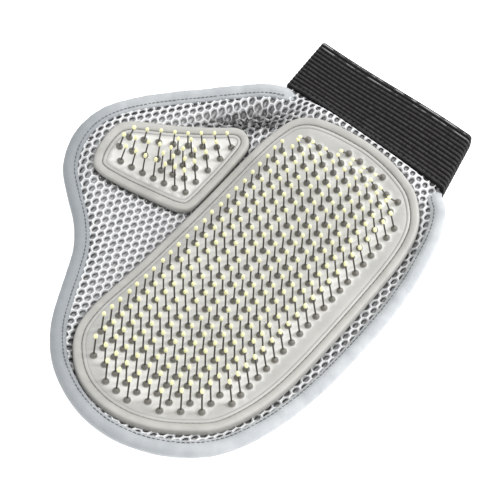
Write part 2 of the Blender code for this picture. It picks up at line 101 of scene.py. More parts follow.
CORNER_X, CORNER_Y = -50.0, 75.0  # the thumb side's cloth beside the wrist is made as a piece of its own
TAPE_COVER = 1.5  # how far under the tape's inner side the cloth begins to leave the tape's height
CLOTH_DROP = 2.9  # how far the cloth beside a pad lies below the pad's face
VALLEY_MIDDLE, VALLEY_WAY = (-62.5, 74), (0.73, 0.685)  # the slack cloth between the pads and the cuff
VALLEY_DEPTH = 4.2


def rise(t, square, fourth, limit):
    """A curve of square and fourth powers up to limit either side of 0, and straight beyond it."""
    t = np.abs(t)
    u = np.minimum(t, limit)
    slope = 2 * square * limit + 4 * fourth * limit ** 3
    return square * u ** 2 + fourth * u ** 4 + (t - u) * slope


def dish(x, y):
    """Height of the pads' face."""
    x, y = np.asarray(x, float), np.asarray(y, float)
    along = rise(y, 8.9e-4, 7.1e-8, 87)
    twist = -5e-4 * np.clip(x, -100, 60) * np.clip(y, -95, 95)
    right = rise(np.maximum(x, 0), 1.77e-3, 0, 50)
    thumb = rise(np.maximum(-56 - x, 0), 4.84e-3, 0, 44)
    return along + twist + right + thumb


def slopes(x, y, step=0.5):
    return ((dish(x + step, y) - dish(x - step, y)) / (2 * step),
            (dish(x, y + step) - dish(x, y - step)) / (2 * step))


def on_dish(points):
    """Flat pad coordinates laid on the dish, with heights measured square to it."""
    x, y, z = np.asarray(points, float).T
    sx, sy = slopes(x, y)
    size = np.sqrt(1 + sx ** 2 + sy ** 2)
    return np.stack([x - z * sx / size, y - z * sy / size, dish(x, y) + z / size], 1)


def smooth(t):
    t = np.clip(t, 0, 1)
    return t * t * (3 - 2 * t)


def spline(points, steps, closed=True):
    points = np.array(points, float)
    if closed:
        padded = np.vstack([points[-1:], points, points[:2]])
    else:
        padded = np.vstack([2 * points[:1] - points[1:2], points, 2 * points[-1:] - points[-2:-1]])
    line = []
    for i in range(1, len(padded) - 2):
        a, b, c, d = padded[i - 1:i + 3]
        for t in np.arange(steps) / steps:
            line.append(0.5 * (2 * b + (c - a) * t + (2 * a - 5 * b + 4 * c - d) * t ** 2
                               + (3 * b - a - 3 * c + d) * t ** 3))
    if not closed:
        line.append(points[-1])
    return np.array(line)


def tangents(line, closed):
    flat = line[:, :2]
    if closed:
        way = np.roll(flat, -1, 0) - np.roll(flat, 1, 0)
    else:
        way = np.vstack([flat[1:], flat[-1:]]) - np.vstack([flat[:1], flat[:-1]])
    return way / np.linalg.norm(way, axis=1)[:, None]


def inset(line, distance, closed=True):
    """The line moved to its left, which is inwards on a ring that runs anticlockwise."""
    way = tangents(line, closed)
    moved = line.copy()
    moved[:, :2] += distance * np.stack([-way[:, 1], way[:, 0]], 1)
    return moved


def even(line, spacing, closed=False):
    """The line with points at even spacing, as (points, distance along)."""
    if closed:
        line = np.vstack([line, line[:1]])
    along = np.concatenate([[0], np.cumsum(np.linalg.norm(np.diff(line, axis=0), axis=1))])
    count = max(2, int(round(along[-1] / spacing)))
    at = np.linspace(0, along[-1], count + 1)
    if closed:
        at = at[:-1]
    return np.stack([np.interp(at, along, line[:, k]) for k in range(line.shape[1])], 1), at


def distance_to(x, y, line, closed):
    """Distance from each point to a line in plan, and the line's height at its nearest point."""
    ends = np.roll(line, -1, 0) if closed else line[1:]
    starts = line if closed else line[:-1]
    best, height = np.full(len(x), 1e9), np.zeros(len(x))
    for start, end in zip(starts, ends):
        way = end[:2] - start[:2]
        t = np.clip(((x - start[0]) * way[0] + (y - start[1]) * way[1]) / (way @ way), 0, 1)
        away = np.hypot(x - start[0] - t * way[0], y - start[1] - t * way[1])
        nearer = away < best
        best = np.where(nearer, away, best)
        if line.shape[1] > 2:
            height = np.where(nearer, start[2] + t * (end[2] - start[2]), height)
    return best, height


def inside(x, y, ring):
    crossed = np.zeros(len(x), bool)
    for (ax, ay), (bx, by) in zip(ring, np.roll(ring, -1, 0)):
        if ay != by:
            crossed ^= ((ay > y) != (by > y)) & (x < ax + (y - ay) * (bx - ax) / (by - ay))
    return crossed


EDGE_LINE = spline(EDGE, 4, closed=False)[::-1]
MAIN_RING, THUMB_RING = spline(MAIN_PAD, 3), spline(THUMB_PAD[::-1], 3)


def pad_distance(x, y):
    """Distance outside the nearer pad's edge, and how deep inside it, both zero or more."""
    out, deep = np.full(len(x), 1e9), np.zeros(len(x))
    for ring in (MAIN_RING, THUMB_RING):
        away, _ = distance_to(x, y, ring, True)
        within = inside(x, y, ring)
        out = np.minimum(out, np.where(within, 0, away))
        deep = np.maximum(deep, np.where(within, away, 0))
    return out, deep


# ---------------------------------------------------------------- cloth surfaces

def waves(x, y):
    """Soft unevenness of unstretched cloth, about a millimetre."""
    return (0.35 * np.sin(x * 0.21 + 1.3 * np.sin(y * 0.07)) * np.cos(y * 0.17 + 0.6)
            + 0.25 * np.sin(x * 0.09 - y * 0.13 + 2.0))


def along_valley(x, y):
    """How far along the valley from its middle, and how far beside it towards the tape."""
    x, y = x - VALLEY_MIDDLE[0], y - VALLEY_MIDDLE[1]
    return x * VALLEY_WAY[0] + y * VALLEY_WAY[1], y * VALLEY_WAY[0] - x * VALLEY_WAY[1]


def valley(x, y):
    """Where the slack cloth sinks between the two pads and the cuff, 0 to 1."""
    along, beside = along_valley(x, y)
    back = np.minimum(along, 0)  # towards the thumb's tip it narrows and keeps to the thumb pad's edge
    half_length = np.where(along < 0, 33, 23)
    half_width = 8.5 * (1 + 0.009 * np.maximum(back, -60))
    return np.exp(-np.abs(along / half_length) ** 3 - np.abs((beside - 0.15 * back) / half_width) ** 3)


def gathered(flat):
    """The slack cloth's cells drawn together across the valley, and puckered."""
    x, y = flat.T
    _, beside = along_valley(x, y)
    sunk = valley(x, y)
    drawn = 0.55 * beside * sunk
    across = np.array((-VALLEY_WAY[1], VALLEY_WAY[0]))
    creased = np.stack([np.sin(2.3 * x + y), np.sin(2.9 * y - 1.7 * x)], 1)
    return flat - drawn[:, None] * across + 0.55 * sunk[:, None] * creased


def inside_tape(x, y):
    """How far in from the strip that the tape holds, and the tape's height beside it."""
    out, tape = distance_to(x, y, EDGE_LINE, False)
    return np.maximum(out - BINDING_WIDTH + TAPE_COVER, 0), tape


def palm_face(x, y):
    """Top of the palm cloth: high at the tape, pressed down to the pads' foot beside them."""
    out, tape = inside_tape(x, y)
    pad, _ = pad_distance(x, y)
    sx, sy = slopes(x, y)
    low = dish(x, y) - CLOTH_DROP * np.sqrt(1 + sx ** 2 + sy ** 2)
    share = smooth(out / (out + np.maximum(pad - 0.6, 0) + 1e-6))
    open_cloth = np.clip(np.minimum(out, pad) / 6, 0, 1)
    sunk = valley(x, y) * smooth(np.minimum(pad / 2, out / 6))
    crumple = 1.5 * np.sin(x * 1.3 + 1.5 * np.sin(y * 0.5)) * np.cos(y * 0.9 - x * 0.4)
    level = (low * share + (tape + 0.4) * (1 - share)
             + waves(x, y) * open_cloth - (VALLEY_DEPTH - crumple) * sunk)
    level += 1.2 * smooth((y - 91) / 7) * smooth((np.minimum(x + 56, 40 - x)) / 18)  # rises before the cuff
    dive = smooth((y - 99.5) / 4)
    return level * (1 - dive) + (CUFF_TOP - 1.2) * dive


def back_face(x, y):
    """Underside of the back cloth, as in the CAD model."""
    out, tape = inside_tape(x, y)
    level = BACK_LEVEL + np.maximum(dish(x, y) - FLAT_BELOW, 0)
    mouth = smooth((y - 72) / 30)
    level = level * (1 - mouth) + (CUFF_TOP - CUFF_HEIGHT - 2.1) * mouth
    share = smooth(out / 22)
    drawn = level * share + (tape - BINDING_HEIGHT / 2 + 0.9) * (1 - share)
    return np.minimum(drawn, palm_face(x, y) - 6.5)


# ---------------------------------------------------------------- materials

def shader_of(name, colour, rough, metal=0.0):
    made = bpy.data.materials.new(name)
    made.use_nodes = True
    shader = made.node_tree.nodes["Principled BSDF"]
    shader.inputs["Base Color"].default_value = (*colour, 1)
    shader.inputs["Roughness"].default_value = rough
    shader.inputs["Metallic"].default_value = metal
    return made, made.node_tree, shader


def coordinates(tree):
    return tree.nodes.new("ShaderNodeTexCoord").outputs["Object"]


def noise(tree, where, scale, detail=3.0, stretch=None):
    if stretch is not None:
        squeeze = tree.nodes.new("ShaderNodeMapping")
        squeeze.inputs["Scale"].default_value = stretch
        tree.links.new(where, squeeze.inputs["Vector"])
        where = squeeze.outputs["Vector"]
    made = tree.nodes.new("ShaderNodeTexNoise")
    made.inputs["Scale"].default_value = scale
    made.inputs["Detail"].default_value = detail
    tree.links.new(where, made.inputs["Vector"])
    return made.outputs["Fac"]


def wave(tree, where, scale, direction, distort=0.0):
    made = tree.nodes.new("ShaderNodeTexWave")
    made.bands_direction = direction
    made.inputs["Scale"].default_value = scale
    made.inputs["Distortion"].default_value = distort
    made.inputs["Detail"].default_value = 1.0
    tree.links.new(where, made.inputs["Vector"])
    return made.outputs["Fac"]


def ramp(tree, value, low, high, start=0.3, end=0.7):
    made = tree.nodes.new("ShaderNodeValToRGB")
    made.color_ramp.elements[0].position = start
    made.color_ramp.elements[1].position = end
    made.color_ramp.elements[0].color = (*low, 1)
    made.color_ramp.elements[1].color = (*high, 1)
    tree.links.new(value, made.inputs["Fac"])
    return made.outputs["Color"]


def mix(tree, share, a, b, how="MIX"):
    made = tree.nodes.new("ShaderNodeMix")
    made.data_type = "RGBA"
    made.blend_type = how
    for socket, value in ((made.inputs["Factor"], share), (made.inputs[6], a), (made.inputs[7], b)):
        if isinstance(value, (float, int)):
            socket.default_value = value
        elif isinstance(value, tuple):
            socket.default_value = (*value, 1)
        else:
            tree.links.new(value, socket)
    return made.outputs[2]


def bump(tree, shader, parts, distance):
    """parts is [(height, strength)], laid one on another."""
    last = None
    for height, strength in parts:
        made = tree.nodes.new("ShaderNodeBump")
        made.inputs["Strength"].default_value = strength
        made.inputs["Distance"].default_value = distance
        tree.links.new(height, made.inputs["Height"])
        if last is not None:
            tree.links.new(last, made.inputs["Normal"])
        last = made.outputs["Normal"]
    tree.links.new(last, shader.inputs["Normal"])


def attribute(tree, name):
    made = tree.nodes.new("ShaderNodeAttribute")
    made.attribute_name = name
    return made.outputs["Fac"]


def cloth_material(name, light, dark):
    made, tree, shader = shader_of(name, light, 0.85)
    where = coordinates(tree)
    tone = ramp(tree, noise(tree, where, 260, 4), dark, light, 0.25, 0.6)
    # painted shade, carried by the depth attribute: hole walls, the second layer, the pads' foot and the
    # valley, darkened towards a tenth of the cloth's tone
    depth = attribute(tree, "depth")
    tone = mix(tree, depth, tone, tuple(c * 0.10 for c in light))
    tree.links.new(tone, shader.inputs["Base Color"])
    shader.inputs["Sheen Weight"].default_value = 0.15
    shader.inputs["Sheen Roughness"].default_value = 0.5
    yarn = wave(tree, where, 900, "DIAGONAL", 3.0)
    bump(tree, shader, [(yarn, 0.35), (noise(tree, where, 2600, 2), 0.4)], 0.0003)
    return made


def tape_material():
    made, tree, shader = shader_of("binding_tape", (0.47, 0.51, 0.56), 0.8)
    where = coordinates(tree)
    tone = ramp(tree, noise(tree, where, 90, 4), (0.38, 0.40, 0.42), (0.48, 0.50, 0.515), 0.3, 0.7)
    # painted shade: the tape greyed where it faces away from the light, most on the thumb's side
    tone = mix(tree, attribute(tree, "painted_tape_shade"), tone, (0.26, 0.28, 0.30))
    tree.links.new(tone, shader.inputs["Base Color"])
    shader.inputs["Sheen Weight"].default_value = 0.2
    weave = mix(tree, 0.5, wave(tree, where, 1100, "X", 0.4), wave(tree, where, 1100, "Y", 0.4))
    creases = [(noise(tree, where, 350, 3), 0.5), (noise(tree, where, 110, 4), 0.5)]
    bump(tree, shader, [(weave, 0.3), *creases], 0.0005)
    return made


def rubber_material():
    made, tree, shader = shader_of("pad_rubber", (0.5, 0.49, 0.46), 0.55)
    where = coordinates(tree)
    mottle = noise(tree, where, 60, 5)
    plain = ramp(tree, mottle, (0.41, 0.407, 0.392), (0.475, 0.472, 0.457), 0.3, 0.7)
    # painted light: rubber made paler where the pins crowd, offsetting the shade they cast on it
    painted_pin_light = ramp(tree, mottle, (0.68, 0.675, 0.65), (0.76, 0.755, 0.73), 0.3, 0.7)
    rim = ramp(tree, noise(tree, where, 120, 4), (0.375, 0.37, 0.35), (0.44, 0.435, 0.413), 0.3, 0.7)
    field = mix(tree, attribute(tree, "painted_pin_light"), plain, painted_pin_light)
    colour = mix(tree, attribute(tree, "rim"), field, rim)
    # painted shade: the rim's two grooves drawn near black
    colour = mix(tree, attribute(tree, "groove"), colour, (0.05, 0.048, 0.042))
    # painted shade: the collars round the pins' feet darkened, as their sides lie in shade
    colour = mix(tree, attribute(tree, "painted_boss_shade"), colour, (0.155, 0.15, 0.13))
    tree.links.new(colour, shader.inputs["Base Color"])
    bump(tree, shader, [(noise(tree, where, 900, 4), 0.18), (noise(tree, where, 140, 2), 0.15)], 0.0004)
    return made


def simple_material(name, low, high, rough, metal, scale, grain, strength):
    made, tree, shader = shader_of(name, high, rough, metal)
    where = coordinates(tree)
    tone = ramp(tree, noise(tree, where, scale, 4), low, high, 0.3, 0.7)
    tree.links.new(tone, shader.inputs["Base Color"])
    bump(tree, shader, [(noise(tree, where, grain, 3), strength)], 0.0002)
    return made


def elastic_material():
    made, tree, shader = shader_of("cuff_elastic", (0.02, 0.02, 0.022), 0.75)
    where = coordinates(tree)
    threads = noise(tree, where, 900, 4, (1.0, 0.35, 0.35))
    tone = ramp(tree, threads, (0.022, 0.021, 0.022), (0.062, 0.060, 0.061), 0.3, 0.7)
    # pale streaks on the crests by the mouth: the elastic's pale threads, partly a painted highlight
    broken = ramp(tree, noise(tree, where, 320, 3, (0.5, 1.0, 1.0)), (0, 0, 0), (1, 1, 1), 0.45, 0.58)
    streak = mix(tree, 1.0, broken, attribute(tree, "shine"), "MULTIPLY")
    tone = mix(tree, streak, tone, (0.42, 0.42, 0.42))
    # painted shade: the grooves between the ribs and the band's inside drawn near black; the crests keep the
    # elastic's tone
    colour = mix(tree, attribute(tree, "crest"), (0.003, 0.003, 0.0035), tone)
    tree.links.new(colour, shader.inputs["Base Color"])
    shader.inputs["Specular IOR Level"].default_value = 0.12
    bump(tree, shader, [(wave(tree, where, 420, "X", 1.5), 0.5), (noise(tree, where, 1500, 2), 0.4)], 0.0004)
    return made


CLOTH = cloth_material("spacer_mesh", (0.80, 0.805, 0.815), (0.70, 0.71, 0.73))
# the back cloth is the palm's mesh in a darker copy: painted shade for the glove's underside
CLOTH_BACK = cloth_material("spacer_mesh_back", (0.68, 0.685, 0.70), (0.58, 0.59, 0.605))
TAPE = tape_material()
RUBBER = rubber_material()
ELASTIC = elastic_material()
WIRE = simple_material("pin_wire", (0.05, 0.045, 0.035), (0.085, 0.076, 0.06), 0.45, 0.3, 400, 2000, 0.1)
TIP = simple_material("pin_tip", (0.86, 0.845, 0.46), (0.92, 0.905, 0.54), 0.35, 0.0, 500, 900, 0.08)
THREAD = simple_material("thread", (0.09, 0.095, 0.10), (0.15, 0.155, 0.16), 0.8, 0.0, 900, 3000, 0.5)
PAD_THREAD = simple_material("pad_thread", (0.13, 0.125, 0.11), (0.22, 0.21, 0.19), 0.8, 0.0, 900, 3000, 0.5)
CUFF_THREAD = simple_material(
    "cuff_thread", (0.015, 0.015, 0.016), (0.04, 0.04, 0.042), 0.8, 0.0, 900, 3000, 0.5)
BACKING = simple_material("pad_backing", (0.30, 0.30, 0.28), (0.36, 0.36, 0.34), 0.8, 0.0, 200, 900, 0.2)


# ---------------------------------------------------------------- making pieces

def piece(name, points, faces, materials, attributes=None, face_material=None, angle=60):
    """A mesh object from pad coordinates, with any per-point values its material reads."""
    mesh = bpy.data.meshes.new(name)
    mesh.from_pydata(((np.asarray(points) - ORIGIN) * MM).tolist(), [], [list(map(int, f)) for f in faces])
    for key, values in (attributes or {}).items():
        layer = mesh.attributes.new(key, "FLOAT", "POINT")
        layer.data.foreach_set("value", np.asarray(values, np.float32))
    for made in materials:
        mesh.materials.append(made)
    if face_material is not None:
        mesh.polygons.foreach_set("material_index", np.asarray(face_material, np.int32))
    bm = bmesh.new()
    bm.from_mesh(mesh)
    bmesh.ops.recalc_face_normals(bm, faces=bm.faces)
    bm.to_mesh(mesh)
    bm.free()
    mesh.shade_smooth()
    mesh.set_sharp_from_angle(angle=math.radians(angle))
    made = bpy.data.objects.new(name, mesh)
    bpy.context.scene.collection.objects.link(made)
    return made


def fold_at_thumb(made):
    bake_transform(made)


def fold_at_corner(made):
    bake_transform(made)


def fold_at_wrist(made):
    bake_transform(made)


def tube_faces(rings, sides, closed_line, caps):
    """Faces of a tube of rings, whose points are numbered ring by ring."""
    faces = []
    for i in range(rings if closed_line else rings - 1):
        a, b = i * sides, ((i + 1) % rings) * sides
        for k in range(sides):
            n = (k + 1) % sides
            faces.append((a + k, a + n, b + n, b + k))
    if caps and not closed_line:
        faces.append(tuple(range(sides)))
        faces.append(tuple((rings - 1) * sides + k for k in range(sides)))
    return faces


def join(parts):
    """[(points, faces)] as one (points, faces)."""
    points, faces, base = [], [], 0
    for p, f in parts:
        points.append(p)
        faces += [tuple(v + base for v in face) for face in f]
        base += len(p)
    return np.vstack(points), faces


# ---------------------------------------------------------------- mesh cloth

CELL_X, CELL_Y = 4.1, 7.6  # the pitch of the holes along a row, and of two rows
FACE_HOLE, LOWER_HOLE = (1.1, 1.65), (0.75, 0.95)  # half a hole's width and length
LAYER_GAP = 1.9  # from the palm cloth's face to its second layer
COVERED = 2.6  # cells further under a pad than this have no hole
ROWS, COLUMNS = range(-31, 31), range(-35, 22)
KEYS_PER_MM = 200  # points that round to the same key are one
# Steps from the crest over into the hole and back along the underside: share of the way from the hole's edge
# to the cell's edge, depth.
FACE_STEPS = [(1.0, 0.0), (0.8, 0.1), (0.6, 0.35), (0.3, 0.55), (0.08, 0.75), (0.0, 1.1), (0.25, 1.5),
              (1.0, 1.6)]
BACK_STEPS = [(1.0, 0.0), (0.35, 0.3), (0.0, 0.9), (1.0, 1.5)]
LOWER_STEPS = [(1.0, 0.0), (0.0, 0.35), (1.0, 0.7)]
CLOTH_RING = np.vstack([inset(EDGE_LINE, 5.0, closed=False)[:, :2], (38.5, 104.5), (-56.0, 104.5)])


def hexagon():
    """A hole's cell: corners and middles of its sides, anticlockwise."""
    half, row = CELL_X / 2, CELL_Y / 2
    reach = (half ** 2 + row ** 2) / 2
    high, low = reach / row, (reach - half ** 2) / row
    corners = np.array([(half, -low), (half, low), (0, high), (-half, low), (-half, -low), (0, -high)])
    points = []
    for a, b in zip(corners, np.roll(corners, -1, 0)):
        points += [a, (a + b) / 2]
    return np.array(points)


def keys_of(flat, depth):
    return np.round(np.column_stack([flat, depth]) * KEYS_PER_MM).astype(np.int64)


def net(centres, solid, surface, sign, steps, hole):
    """A knitted net: one oval hole to a cell, with rounded strands between holes and a face on both sides.

    sign is 1 for a cloth seen from above and -1 from below. Cells marked solid have no hole.
    """
    ring = hexagon()
    oval = ring / np.hypot(ring[:, 0] / hole[0], ring[:, 1] / hole[1])[:, None]
    sides, loops = len(ring), len(steps)
    flat, depth, faces = [], [], []
    for centre, full in zip(centres, solid):
        base = len(flat)
        use = [steps[0], steps[-1]] if full else steps
        for share, down in use:
            for p, q in zip(ring, oval):
                flat.append(centre + q + share * (p - q))
                depth.append(down)
        if full:
            for level in (0, 1):
                flat.append(centre)
                depth.append(use[level][1])
                middle = base + 2 * sides + level
                for k in range(sides):
                    a, b = base + level * sides + k, base + level * sides + (k + 1) % sides
                    faces.append((a, b, middle) if level == 0 else (b, a, middle))
        else:
            for i in range(loops - 1):
                for k in range(sides):
                    n = (k + 1) % sides
                    a, b = base + i * sides, base + (i + 1) * sides
                    faces.append((a + k, a + n, b + n, b + k))
    flat, depth = np.array(flat), np.array(depth)
    _, first, index = np.unique(keys_of(flat, depth), axis=0, return_index=True, return_inverse=True)
    index = index.reshape(-1)
    flat, depth = flat[first], depth[first]
    faces = [tuple(index[v] for v in f) for f in faces]
    faces += edge_faces(flat, depth, faces, steps[0][1], steps[-1][1])
    flat = gathered(flat)
    z = surface(flat[:, 0], flat[:, 1]) - sign * depth
    return np.column_stack([flat, z]), faces, depth


def edge_faces(flat, depth, faces, top, low):
    """Faces that close the cloth's ragged outer edge between its two sides."""
    ways = dict.fromkeys((a, b) for f in faces for a, b in zip(f, f[1:] + f[:1]))
    lookup = {tuple(k): i for i, k in enumerate(keys_of(flat, depth))}
    found = []
    for a, b in ways:
        if (b, a) not in ways and depth[a] == top and depth[b] == top:
            under = [lookup.get(tuple(keys_of(flat[[v]], [low])[0])) for v in (a, b)]
            if None not in under:
                found.append((b, a, under[0], under[1]))
    return found


def lattice(shift):
    """The cells' middles inside the cloth, moved to the right by shift."""
    cells = np.array([(i * CELL_X + (j % 2) * CELL_X / 2 + shift, j * CELL_Y / 2)
                      for j in ROWS for i in COLUMNS])
    x, y = cells.T
    return cells[inside(x, y, CLOTH_RING)]


def lower_layer(x, y):
    return palm_face(x, y) - LAYER_GAP


def face_shade(depth):
    """How dark a hole's wall is."""
    return 0.4 * smooth((depth - 0.05) / 0.4) + 0.6 * smooth((depth - 0.5) / 0.6)


def lower_shade(points, depth):
    """The second layer lies in the first one's shadow, and the more so beside the tape and the cuff."""
    x, y = points[:, 0], points[:, 1]
    edge, _ = distance_to(x, y, EDGE_LINE, False)
    beside = np.maximum(1 - smooth((edge - BINDING_WIDTH) / 7), smooth((y - 88) / 8))
    return 0.15 + 0.5 * smooth(depth / 0.3) + 0.4 * beside


def palm_shadow(points):
    """Darkness at the pads' foot and, finely broken, in the valley."""
    x, y = points[:, 0], points[:, 1]
    beside, _ = pad_distance(x, y)
    fine = np.sin(x * 2.7 + 2 * np.sin(y)) * np.sin(y * 3.1 - x)
    return 0.9 * (1 - smooth(beside / 2.2)) + (0.62 + 0.35 * fine) * valley(x, y)


def make_cloth():
    for label, surface, sign, steps, hole, material, nodes in (
            ("palm_cloth_face", palm_face, 1, FACE_STEPS, FACE_HOLE, CLOTH, "palm_mesh_"),
            ("palm_cloth_lower", lower_layer, 1, LOWER_STEPS, LOWER_HOLE, CLOTH, None),
            ("back_cloth_face", back_face, -1, BACK_STEPS, FACE_HOLE, CLOTH_BACK, "back_mesh_")):
        lower = surface is lower_layer
        cells = lattice(CELL_X / 2 if lower else 0.0)
        x, y = cells.T
        _, deep = pad_distance(x, y)
        solid = (deep > COVERED) & (sign > 0)
        corner = (x < CORNER_X) & (y > CORNER_Y)
        for ending, chosen in (("", ~corner), ("_corner", corner)):
            points, faces, depth = net(cells[chosen], solid[chosen], surface, sign, steps, hole)
            # painted shade for each point, stored as the depth attribute
            shade = lower_shade(points, depth) if lower else face_shade(depth)
            if sign > 0:
                shade = np.clip(shade + palm_shadow(points), 0, 1)
            found = piece(label + ending, points, faces, [material], {"depth": shade})
            if ending:
                fold_at_corner(found)
            else:
                if nodes:
                    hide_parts(nodes + "hand", nodes + "thumb")
                fold_at_thumb(found)


# ---------------------------------------------------------------- binding tape and its stitches

def tape_section(count=18):
    """The folded tape's section, a full oval, as (across from its middle, up)."""
    section = []
    for k in range(count):
        a = 2 * math.pi * k / count
        c, s = math.cos(a), math.sin(a)
        across = math.copysign(abs(c) ** 0.8, c) * BINDING_WIDTH / 2
        up = math.copysign(abs(s) ** 0.85, s) * BINDING_HEIGHT / 2
        section.append((across, up))
    return np.array(section)


def parts_beside_wrist(points):
    """How many of a line's first points are on the cloth beside the wrist, which is made as a piece of its
    own.

    The line begins at the wrist's thumb-side corner.
    """
    return int(np.argmin((points[:, 0] < CORNER_X) & (points[:, 1] > CORNER_Y)))


def fold_edge_piece(made, nodes):
    """The edge's long piece stands for its CAD nodes, and the short one beside the wrist for none."""
    if nodes:
        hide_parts(*nodes)
        fold_at_thumb(made)
    else:
        fold_at_corner(made)


def tape_shade_of(x, y):
    """Painted shade on the tape, how grey it is: more on the thumb's side, less from there to the wrist, a
    little at the tips.
    """
    left = smooth((60 - x) / 150) * (1 - 0.8 * smooth((y - 5) / 35))
    return left + 0.13 * smooth((-60 - y) / 30)


def make_tape():
    line = np.vstack([[(-55.0, 107.5, 6.0)], EDGE_LINE, [(40.5, 105.0, 6.0)]])
    middle, along = even(inset(line, BINDING_WIDTH / 2, closed=False), 1.6)
    held = smooth(np.minimum(along, along[-1] - along) / 11)  # the ends run in under the cuff
    way = tangents(middle, False)
    left = np.stack([-way[:, 1], way[:, 0]], 1)
    section = tape_section()
    across, upright = section.T
    inner = smooth((across - 0.8) / 2.6)  # the lip beside the stitch line is pressed down
    groove = 0.55 * np.exp(-((across - 2.3) / 0.55) ** 2) * np.sign(upright)
    puff = 0.16 * np.sin(along * 0.31 + 0.8) + 0.12 * np.sin(along * 0.83 + 2.1) + 0.08 * np.sin(along * 1.9)
    rings = []
    for point, side, s, p, full in zip(middle, left, along, puff, held):
        pinch = 0.10 * math.cos(s * 2 * math.pi / 4.8)
        up = upright * (1 - 0.36 * inner) * (0.55 + 0.45 * full) + (p + pinch * inner) * np.sign(upright)
        rings.append(np.column_stack([point[0] + side[0] * across, point[1] + side[1] * across,
                                      point[2] + up - groove - 3.6 * (1 - full)]))
    rings = np.array(rings)
    cut = parts_beside_wrist(middle)
    for name, chosen, nodes in (("edge_binding_corner", rings[:cut + 1], ()),
                                ("edge_binding", rings[cut:], ("edge_binding_hand", "edge_binding_thumb"))):
        flat = chosen.reshape(-1, 3)
        # each tape piece carries its painted shade
        made = piece(name, flat, tube_faces(len(chosen), len(section), False, True), [TAPE],
                     {"painted_tape_shade": tape_shade_of(flat[:, 0], flat[:, 1])})
        fold_edge_piece(made, nodes)


def stitches(line, pitch, length, radius, lift, closed=False):
    """Short threads along a line, each one arched and sunk at its ends."""
    whole, along = even(line, 0.25, closed)
    arch = np.array([-1.0, 0.15, 0.4, 0.15, -1.0]) * radius + lift
    size = radius * np.array([0.55, 1.0, 1.05, 1.0, 0.55])
    rings, sides = len(arch), 6
    parts = []
    start = pitch * 0.3
    while start + length < along[-1]:
        at = np.linspace(start, start + length, rings)
        path = np.stack([np.interp(at, along, whole[:, k]) for k in range(3)], 1)
        path[:, 2] += arch
        way = np.gradient(path, axis=0)
        way /= np.linalg.norm(way, axis=1)[:, None]
        side = np.cross(way, (0, 0, 1))
        side /= np.linalg.norm(side, axis=1)[:, None]
        up = np.cross(side, way)
        points = []
        for i in range(rings):
            for k in range(sides):
                a = math.pi * k / 3
                points.append(path[i] + size[i] * (side[i] * math.cos(a) + up[i] * math.sin(a)))
        parts.append((np.array(points), tube_faces(rings, sides, False, True)))
        start += pitch
    return join(parts)


def make_binding_stitches():
    line = inset(EDGE_LINE, BINDING_WIDTH - 1.6, closed=False)
    line[:, 2] += BINDING_HEIGHT / 2 * 0.6
    cut = parts_beside_wrist(line)
    both = ("binding_stitching_hand", "binding_stitching_thumb")
    for name, chosen, nodes in (("binding_stitches_corner", line[:cut + 1], ()),
                                ("binding_stitches", line[cut:], both)):
        points, faces = stitches(chosen, 2.2, 1.7, 0.23, 0.0)
        made = piece(name, points, faces, [THREAD])
        fold_edge_piece(made, nodes)


# ---------------------------------------------------------------- pads

# Across the rim from the foot of its wall: inset from the pad's edge, height.
RIM = [(0.7, -4.5), (0.15, -4.2), (0.0, -3.4), (0.0, -2.2), (0.0, -1.2), (0.1, -0.6), (0.35, -0.15),
       (0.7, 0.12), (1.2, 0.3), (2.0, 0.4), (2.8, 0.36), (3.4, 0.2), (3.75, 0.05), (3.92, -0.3), (4.1, -0.42),
       (4.28, -0.3), (4.45, 0.05), (5.2, 0.12), (5.75, 0.08), (5.92, -0.12), (6.1, 0.0)]
GROOVE, INNER_GROOVE = 4.1, 5.92  # where the rim's two grooves lie, in from the pad's edge
BOSS = [(1.95, 0.0), (1.84, 0.3), (1.62, 1.0), (1.2, 1.7), (0.75, 2.1), (0.35, 2.25)]  # radius, height
BOSS_TOP, BOSS_SIDES = 2.3, 10
FIELD_MESH = 1.7  # spacing of the points between the collars
PAD_KEYS_PER_MM = 500  # points that round to the same key are one
# A wire and its tip, from the rubber up: height, radius.
WIRE_PROFILE = [(1.6, 0.45), (2.6, 0.42), (8.5, 0.42), (14.9, 0.42)]
TIP_PROFILE = [(14.6, 0.55), (14.95, 0.84), (15.5, 1.0), (16.2, 1.04), (16.9, 0.92), (17.4, 0.62),
               (17.7, 0.22)]
TIP_HEIGHT = 16.2


def pins_of(start, end, count):
    """A row of pins' feet at even spacing."""
    start, end = np.array(start), np.array(end)
    return np.array([start + (end - start) * i / (count - 1) for i in range(count)])


def main_row(k, first, last):
    x = (k - len(MAIN_ROWS) // 2) * ROW_PITCH
    row = pins_of((x, first * PIN_PITCH), (x, last * PIN_PITCH), last - first + 1)
    # the rubber is drawn a little towards its middle beside the tips of the fingers
    drawn = smooth((-row[:, 1] - 30) / 50) * smooth((12 - row[:, 0]) / 40)
    return row + drawn[:, None] * np.array((1.0, 1.0))


MAIN_PINS = [main_row(k, first, last) for k, (first, last) in enumerate(MAIN_ROWS)]
THUMB_PINS = [pins_of(start, end, count) for start, end, count in THUMB_ROWS]


def fill(ring, extra):
    """Triangles inside a ring that use the extra points: (points, faces)."""
    points = [Vector(p) for p in np.vstack([ring, extra])] if len(extra) else [Vector(p) for p in ring]
    verts, _, faces, *_ = delaunay_2d_cdt(points, [], [list(range(len(ring)))], 1, 1e-4)
    return np.array([tuple(v) for v in verts]), [tuple(f) for f in faces]


def pad_wall(ring):
    """The pad's side and rim, from the foot of its wall in to the field."""
    count = len(ring)
    points = np.vstack([np.column_stack([inset(ring, d)[:, :2], np.full(count, h)]) for d, h in RIM])
    faces = []
    for i in range(len(RIM) - 1):
        for k in range(count):
            n = (k + 1) % count
            faces.append((i * count + k, i * count + n, (i + 1) * count + n, (i + 1) * count + k))
    return points, faces


